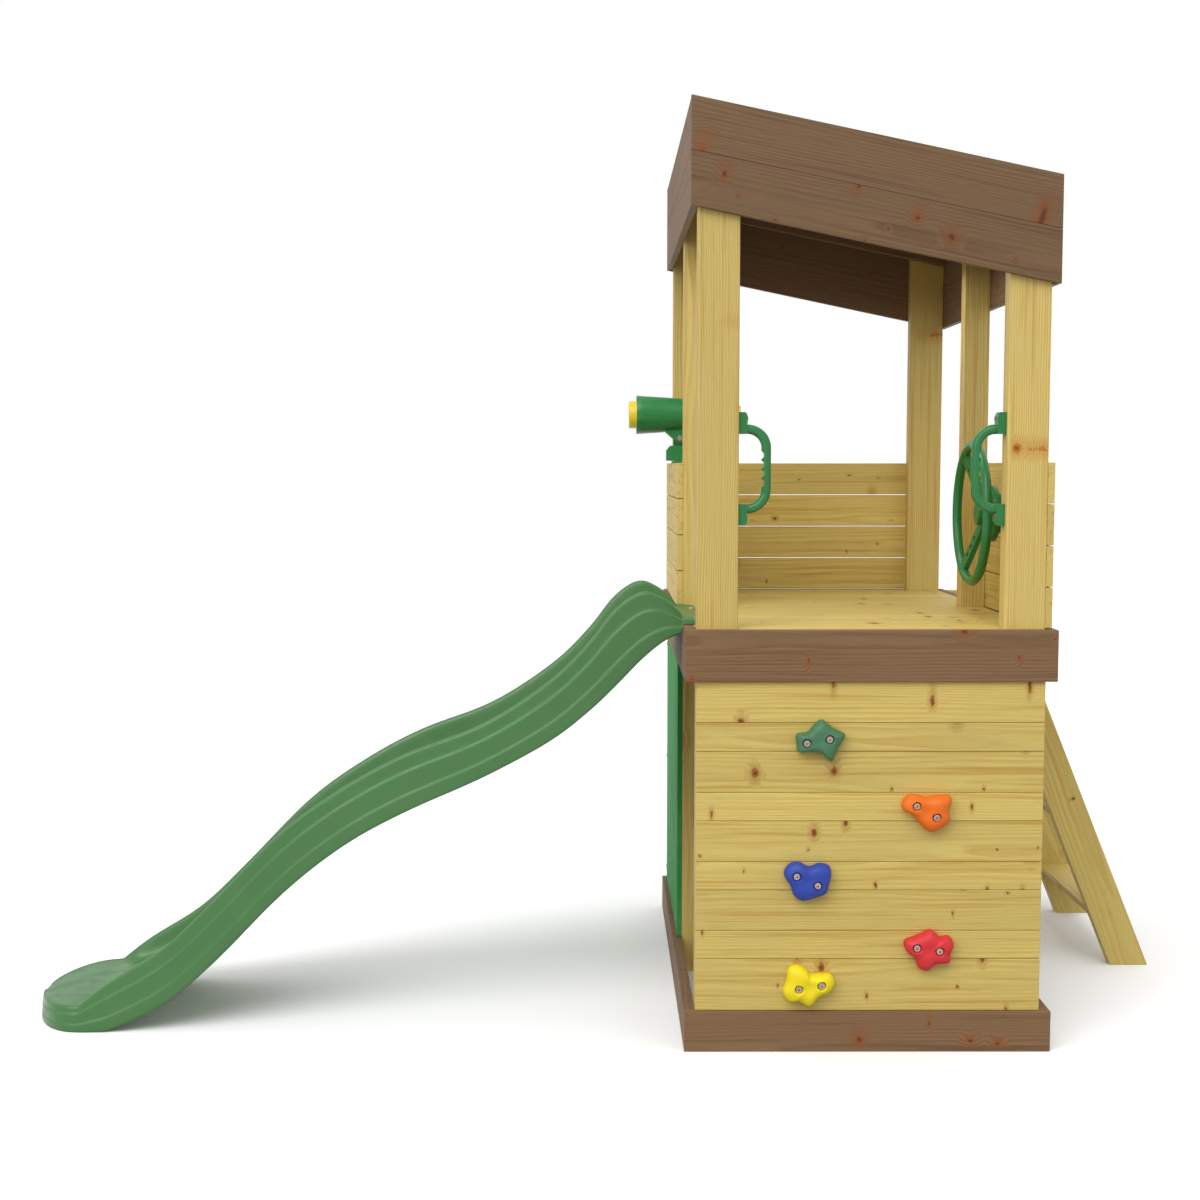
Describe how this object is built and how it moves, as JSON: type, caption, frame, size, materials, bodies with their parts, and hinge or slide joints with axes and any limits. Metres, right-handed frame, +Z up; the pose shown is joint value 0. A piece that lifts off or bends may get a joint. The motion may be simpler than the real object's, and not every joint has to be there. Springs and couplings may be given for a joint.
{
  "type": "play tower",
  "caption": "Timber toddler play tower with a climbing wall, ladder, wavy slide, pent roof, sand frame, chalkboard, turning steering wheel and tilting telescope.",
  "frame": {"origin": "on the ground, in the middle of the front base board's underside", "axes": "+X towards the ladder, +Y from the climbing wall to the back, +Z up"},
  "size_m": [2.7289, 1.246, 2.0625],
  "materials": {
    "pine": "satin",
    "stained_pine": "satin",
    "slide_plastic": "satin",
    "green_plastic": "satin",
    "chalk_paint": "matte",
    "hold_dark_green": "matte",
    "hold_orange": "matte",
    "hold_blue": "matte",
    "hold_red": "matte",
    "hold_yellow": "matte",
    "yellow_plastic": "gloss",
    "steel": "zinc plated",
    "lens": "clear"
  },
  "bodies": {
    "tower": {"base_board_front": "stained_pine", "base_board_back": "stained_pine", "base_board_left": "stained_pine", "base_board_right": "stained_pine", "post_front_left": "pine", "post_front_right": "pine", "post_mid_left": "pine", "post_mid_right": "pine", "post_back_left": "pine", "post_back_right": "pine", "climbing_planks": "pine", "hold_dark_green": "hold_dark_green", "hold_orange": "hold_orange", "hold_blue": "hold_blue", "hold_red": "hold_red", "hold_yellow": "hold_yellow", "hold_bolts": "steel", "hold_tee_nuts": "steel", "deck_fascia_front": "stained_pine", "deck_fascia_back": "stained_pine", "deck_fascia_left": "stained_pine", "deck_fascia_right": "stained_pine", "deck_joists": "pine", "joist_bolts": "steel", "deck_boards": "pine", "rail_planks_back": "pine", "rail_planks_left": "pine", "rail_planks_right": "pine", "roof_fascia_front": "stained_pine", "roof_fascia_back": "stained_pine", "roof_fascia_left": "stained_pine", "roof_fascia_right": "stained_pine", "roof_rafters": "stained_pine", "roof_boards": "stained_pine", "ladder_stringer_near": "pine", "ladder_stringer_far": "pine", "ladder_treads": "pine", "slide": "slide_plastic", "slide_bolts": "steel", "chalkboard": "chalk_paint", "chalkboard_screws": "steel", "grip_left": "green_plastic", "grip_right": "green_plastic", "grip_screws": "steel", "wheel_base": "green_plastic", "wheel_axle": "steel", "wheel_screws": "steel", "telescope_cleat": "pine", "telescope_foot": "green_plastic", "swivel_bolt": "steel", "telescope_screws": "steel"},
    "wheel": {"steering_wheel": "green_plastic", "wheel_cap": "green_plastic"},
    "bracket": {"telescope_bracket": "green_plastic"},
    "scope": {"telescope_tube": "green_plastic", "telescope_ring": "yellow_plastic", "telescope_eyepiece": "yellow_plastic", "telescope_lenses": "lens", "tilt_bolt": "steel"}
  },
  "joints": [
    {"name": "wheel_spin", "type": "hinge", "parent": "tower", "child": "wheel", "pos_m": [0.313, 0.3165, 1.172], "axis": [1, 0, 0], "continuous": true},
    {"name": "scope_swivel", "type": "hinge", "parent": "tower", "child": "bracket", "pos_m": [-0.3735, 0.8805, 1.29], "axis": [0, 0, 1], "range_deg": [-50, 50]},
    {"name": "scope_tilt", "type": "hinge", "parent": "bracket", "child": "scope", "pos_m": [-0.3735, 0.8805, 1.356], "axis": [0, 1, 0], "range_deg": [-20, 20]}
  ]
}
